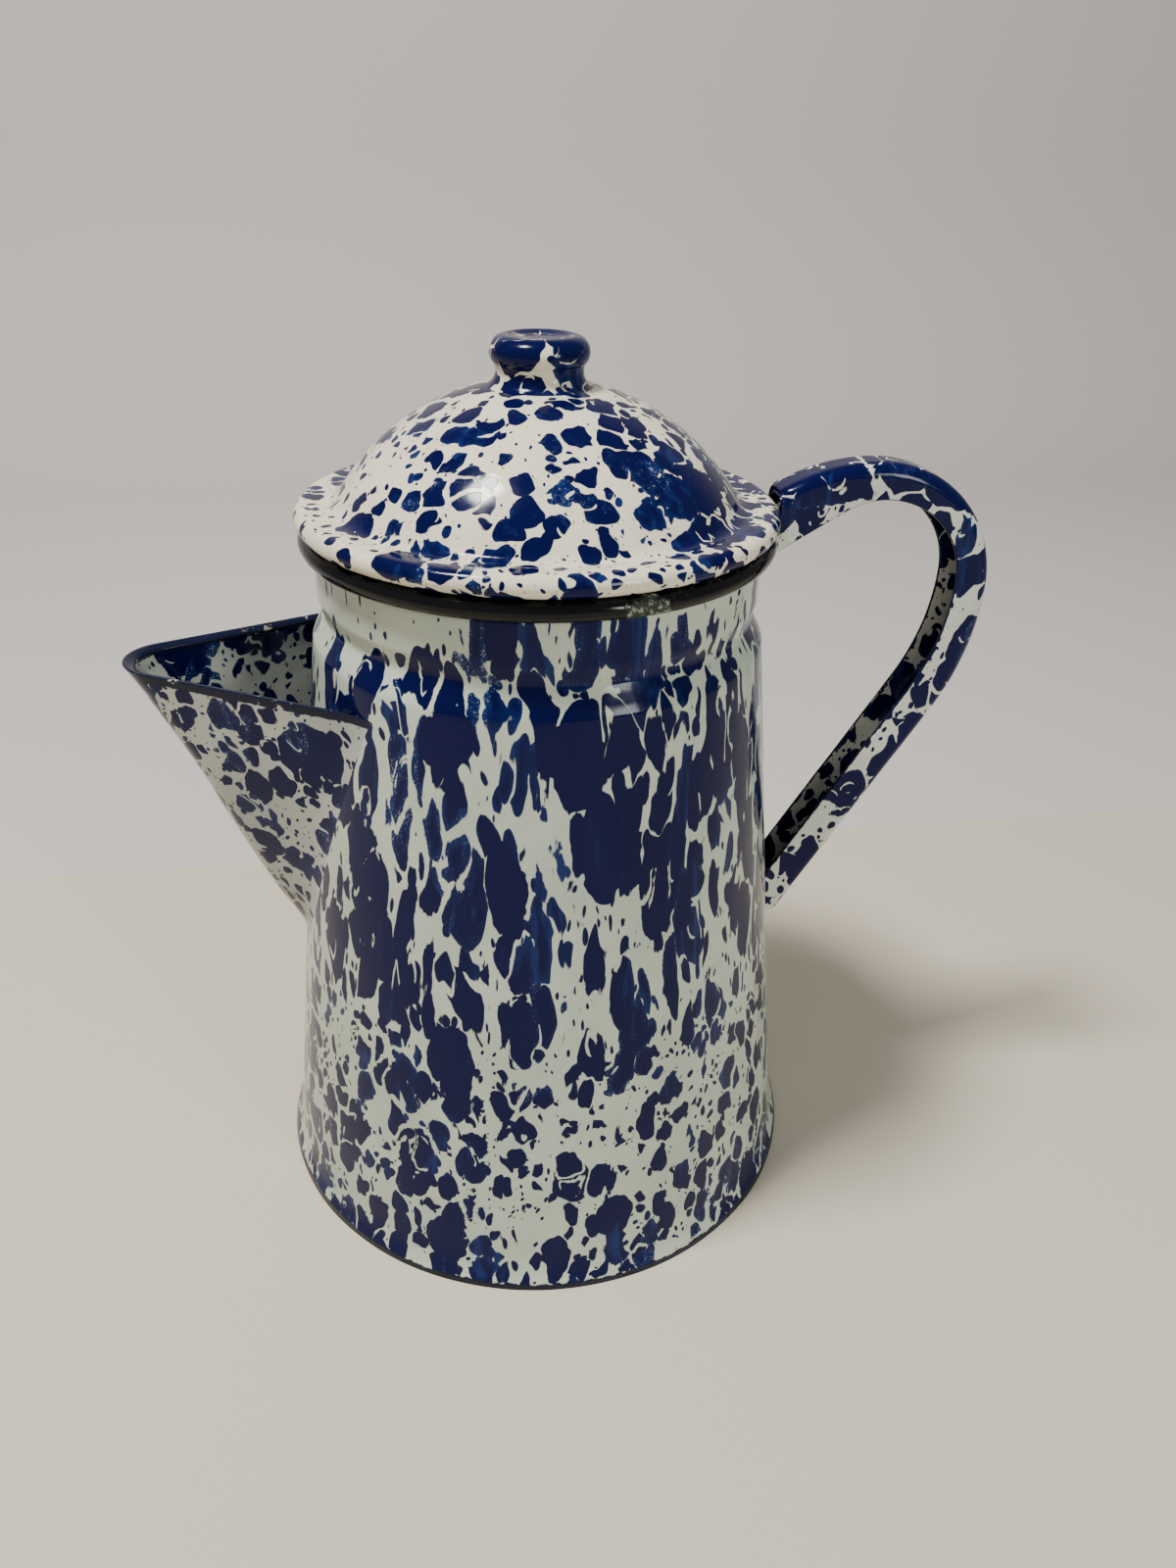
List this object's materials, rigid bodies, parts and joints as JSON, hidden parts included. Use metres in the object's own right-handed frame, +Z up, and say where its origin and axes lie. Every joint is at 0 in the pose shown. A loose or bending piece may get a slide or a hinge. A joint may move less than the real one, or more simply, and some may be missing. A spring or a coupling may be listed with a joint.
{
  "type": "coffee percolator",
  "caption": "Tapered enamelled camping percolator with open V spout, channel handle, domed lift-off lid and a lift-out pump and basket.",
  "frame": {"origin": "centre of the base, on the pot's axis at the plane that it stands on", "axes": "+Z up along the pot's axis, spout along -X, handle along +X, mirror plane XZ"},
  "size_m": [0.219, 0.15, 0.2269],
  "materials": {
    "splatter_enamel": "glossy vitreous enamel, navy splatter on grey-white",
    "black_enamel": "glossy black vitreous enamel",
    "aluminium": "spun, slightly worn",
    "steel": "plain"
  },
  "bodies": {
    "pot": {"pot_body": "splatter_enamel", "base_plate": "splatter_enamel", "rim_bead": "black_enamel", "rim_wire": "steel", "spout_shell": "splatter_enamel", "handle_strap": "splatter_enamel"},
    "lid": {"lid_shell": "splatter_enamel", "lid_knob": "splatter_enamel", "lid_collar": "splatter_enamel"},
    "pump": {"pump_tube": "aluminium", "pump_bell": "aluminium", "stem_stop": "aluminium", "valve_cage": "aluminium", "valve_seat": "aluminium"},
    "valve": {"valve_disc": "steel"},
    "basket": {"basket_cup": "aluminium", "basket_sleeve": "aluminium"},
    "spreader": {"spreader_plate": "aluminium", "spreader_ferrule": "aluminium"}
  },
  "joints": [
    {"name": "lid_lift", "type": "slide", "parent": "pot", "child": "lid", "axis": [0, 0, 1], "range_m": [0, 0.36]},
    {"name": "pump_lift", "type": "slide", "parent": "pot", "child": "pump", "axis": [0, 0, 1], "range_m": [0, 0.2]},
    {"name": "valve_lift", "type": "slide", "parent": "pump", "child": "valve", "axis": [0, 0, 1], "range_m": [0, 0.0025]},
    {"name": "basket_lift", "type": "slide", "parent": "pump", "child": "basket", "axis": [0, 0, 1], "range_m": [0, 0.1]},
    {"name": "spreader_lift", "type": "slide", "parent": "basket", "child": "spreader", "axis": [0, 0, 1], "range_m": [0, 0.03]}
  ],
  "couplings": [
    {"joint": "pump_lift", "follows": "lid_lift", "ratio": 0.55},
    {"joint": "basket_lift", "follows": "lid_lift", "ratio": 0.27},
    {"joint": "spreader_lift", "follows": "lid_lift", "ratio": 0.08}
  ]
}
